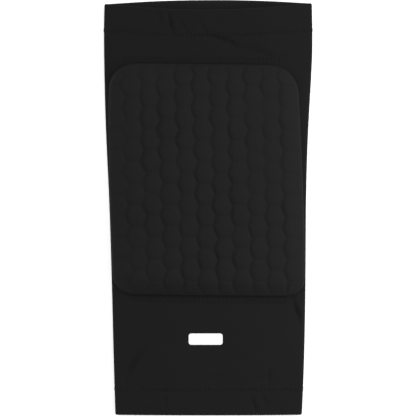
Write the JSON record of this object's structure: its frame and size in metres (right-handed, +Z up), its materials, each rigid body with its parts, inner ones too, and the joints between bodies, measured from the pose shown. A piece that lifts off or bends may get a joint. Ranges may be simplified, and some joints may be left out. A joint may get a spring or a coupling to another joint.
{
  "type": "padded knee sleeve",
  "caption": "Stretch knit knee sleeve lying flat, a tube open at thigh and calf with turned-in hems and a honeycomb foam pad on its front.",
  "frame": {"origin": "on the surface that the sleeve lies on, under the middle of its box", "axes": "+Z up, the way the pad faces; +Y along the leg to the thigh opening; +X to the right seen from above"},
  "size_m": [0.1666, 0.3316, 0.0255],
  "materials": {
    "knit_black": "matt stretch knit",
    "pad_cover": "matt stretch knit over foam",
    "transfer_white": "matt heat transfer"
  },
  "bodies": {
    "root": {"sleeve": "knit_black", "thigh_hem": "knit_black", "calf_hem": "knit_black", "knee_pad": "pad_cover", "transfer_bar": "transfer_white"}
  },
  "joints": []
}
